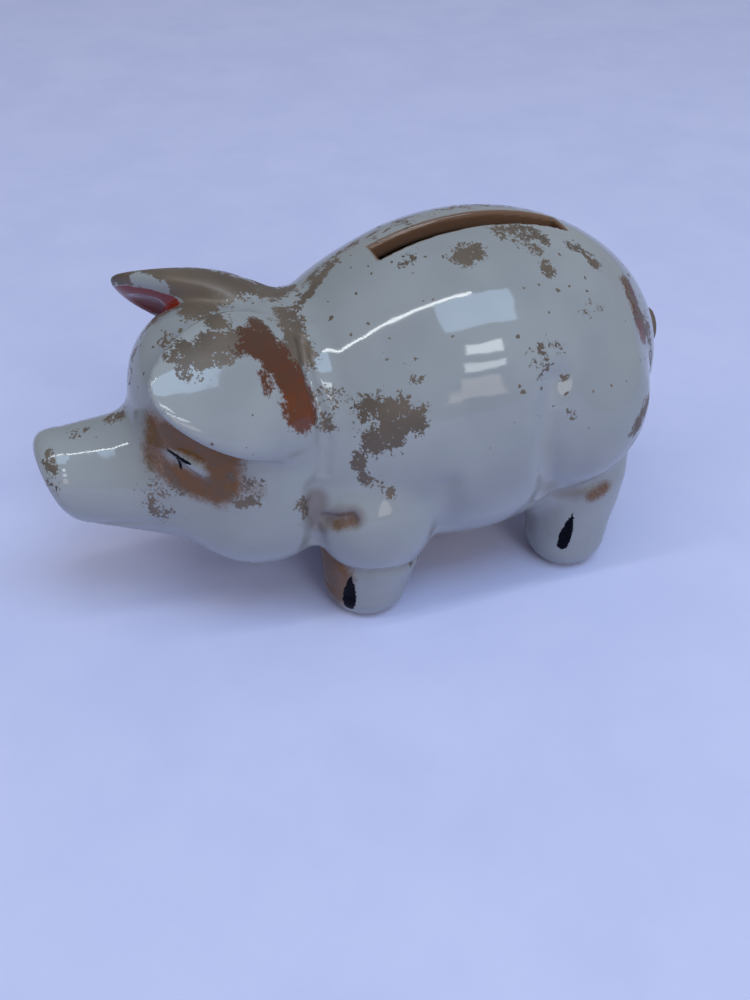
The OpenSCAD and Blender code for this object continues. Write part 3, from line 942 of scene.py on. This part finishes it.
def build_stopper():
    """A tapered cork with a rounded rim, turned about the hole's axis."""
    low, high = (np.array(corner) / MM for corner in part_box("stopper"))
    rim_r, top = (high[0] - low[0]) / 2, high[2] - low[2]
    plug_r, rim_t, edge = BORE_R - 0.06, 2.0, 0.55
    arc = [math.radians(a) for a in range(0, 91, 15)]
    outline = [(0.0, 0.25), (rim_r * 0.55, 0.12), (rim_r - edge - 0.6, 0)]
    outline += [(rim_r - edge + edge * math.sin(a), edge - edge * math.cos(a)) for a in arc]
    outline += [(rim_r - edge + edge * math.cos(a), rim_t - edge + edge * math.sin(a)) for a in arc]
    outline += [(plug_r, rim_t)]
    outline += [(plug_r - 0.05 * k, rim_t + k * (top - rim_t - 1) / 5) for k in range(1, 6)]
    outline += [(plug_r - 0.25 - 1 + math.cos(a), top - 1 + math.sin(a)) for a in arc]
    outline += [(0.0, top)]
    around = 96
    rng = np.random.default_rng(7)
    points = [(0, BORE_Y, low[2] + outline[0][1])]
    for r, z in outline[1:-1]:
        for k in range(around):
            a = 2 * math.pi * k / around
            nick = 0.05 * max(0.0, rng.normal()) if r < plug_r + 2 * edge else 0.03 * abs(rng.normal())
            points.append(((r - nick) * math.cos(a), BORE_Y + (r - nick) * math.sin(a), low[2] + z))
    points.append((0, BORE_Y, low[2] + top))
    rings = len(outline) - 2
    faces = [(0, 1 + (k + 1) % around, 1 + k) for k in range(around)]
    for row in range(rings - 1):
        base = 1 + row * around
        for k in range(around):
            j = (k + 1) % around
            faces.append((base + k, base + j, base + around + j, base + around + k))
    base, tip = 1 + (rings - 1) * around, len(points) - 1
    faces += [(base + k, base + (k + 1) % around, tip) for k in range(around)]
    mesh = bpy.data.meshes.new("cork_stopper")
    mesh.from_pydata((np.array(points) * MM).tolist(), [], faces)
    mesh.polygons.foreach_set("use_smooth", np.ones(len(mesh.polygons), bool))
    mesh.set_sharp_from_angle(angle=math.radians(50))
    piece = bpy.data.objects.new("cork_stopper", mesh)
    bpy.context.scene.collection.objects.link(piece)
    piece.data.materials.append(material("cork"))
    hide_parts("stopper")
    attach(piece, "stopper")


# ---------------------------------------------------------------- camera, floor and light

CAMERA_AZ, CAMERA_EL = 71.0, 37.8
CAMERA_AT = Vector((0.1369, -0.046, 0.1216))


def toward(az, el):
    """Unit vector from the pig: azimuth 0 is ahead of the snout, 90 is the pig's left."""
    a, e = math.radians(az), math.radians(el)
    return Vector((math.sin(a) * math.cos(e), -math.cos(a) * math.cos(e), math.sin(e)))


def add_camera():
    data = bpy.data.cameras.new("camera")
    data.sensor_fit = "VERTICAL"
    data.sensor_height = 36
    data.lens = 39.6
    data.clip_start = 0.01
    camera = bpy.data.objects.new("camera", data)
    bpy.context.scene.collection.objects.link(camera)
    camera.location = CAMERA_AT
    camera.rotation_euler = toward(CAMERA_AZ, CAMERA_EL).to_track_quat("Z", "Y").to_euler()
    bpy.context.scene.camera = camera


def add_floor():
    """A pale floor, a hair below the soles so that no two faces lie in one plane."""
    mesh = bpy.data.meshes.new("floor")
    half, z = 1.5, -0.03 * MM
    corners = [(-half, -half, z), (half, -half, z), (half, half, z), (-half, half, z)]
    mesh.from_pydata(corners, [], [(0, 1, 2, 3)])
    floor = bpy.data.objects.new("floor", mesh)
    bpy.context.scene.collection.objects.link(floor)
    n = Nodes("pale_floor")
    shader = n.add("BsdfPrincipled")
    n.feed(shader.inputs["Base Color"], n.mix(n.ramp(n.noise(n.place(), 40, 4, 0.6), 0.3, 0.7),
                                              colour(208, 213, 252), colour(214, 218, 255)))
    shader.inputs["Roughness"].default_value = 0.9
    output = n.add("OutputMaterial")
    n.feed(output.inputs[0], shader.outputs[0])
    mesh.materials.append(n.material)


PIG_MIDDLE = Vector((0, 0, 0.03))


def add_panel(name, place, long, high, power, tint):
    """A soft light panel that faces the pig, with its long side running the way the pig does.
    The place is in metres from the middle of the pig."""
    data = bpy.data.lights.new(name, "AREA")
    data.shape = "RECTANGLE"
    data.size, data.size_y = long, high
    data.energy = power
    data.color = tint
    lamp = bpy.data.objects.new(name, data)
    bpy.context.scene.collection.objects.link(lamp)
    back = Vector(place).normalized()
    side = (Vector((0, 1, 0)) - back * back.y).normalized()
    turn = Matrix((side, back.cross(side), back)).transposed()
    lamp.matrix_world = Matrix.Translation(PIG_MIDDLE + Vector(place)) @ turn.to_4x4()


def add_panels():
    """Sky through a tall window on the pig's left, with its bright head and its bars."""
    add_panel("sky", (0.40, 0.12, 0.93), 0.62, 0.40, 3.6, (0.5, 0.72, 1.0))
    add_panel("window_head", (0.19, -0.34, 1.0), 1.05, 0.045, 2.4, (0.95, 0.98, 1.0))
    add_panel("upper_bar", (0.80, 0.12, 0.66), 0.30, 0.12, 0.9, (0.9, 0.97, 1.0))
    add_panel("middle_bar", (0.88, 0.10, 0.46), 0.34, 0.10, 0.65, (0.9, 0.97, 1.0))
    add_panel("lower_bar", (0.95, 0.06, 0.22), 0.34, 0.22, 0.55, (1.0, 0.9, 0.8))


def add_room():
    """Soft light from all round, dimmer ahead of the snout than behind the tail."""
    world = bpy.data.worlds.new("soft_room")
    bpy.context.scene.world = world
    world.use_nodes = True
    nodes, links = world.node_tree.nodes, world.node_tree.links
    kinds = ("SeparateXYZ", "MapRange", "ValToRGB")
    facing, spread, fade = (nodes.new("ShaderNode" + kind) for kind in kinds)
    links.new(nodes.new("ShaderNodeTexCoord").outputs["Generated"], facing.inputs[0])
    links.new(facing.outputs["Y"], spread.inputs["Value"])
    spread.inputs["From Min"].default_value, spread.inputs["From Max"].default_value = -0.9, 0.5
    links.new(spread.outputs["Result"], fade.inputs["Fac"])
    ahead, behind = fade.color_ramp.elements
    ahead.color, behind.color = (0.62, 0.60, 0.58, 1), (1.0, 1.01, 1.03, 1)
    links.new(fade.outputs["Color"], nodes["Background"].inputs["Color"])
    nodes["Background"].inputs["Strength"].default_value = 0.36


bpy.context.scene.view_settings.view_transform = "Standard"
add_camera()
add_floor()
add_panels()
add_room()
build_pig()
build_stopper()
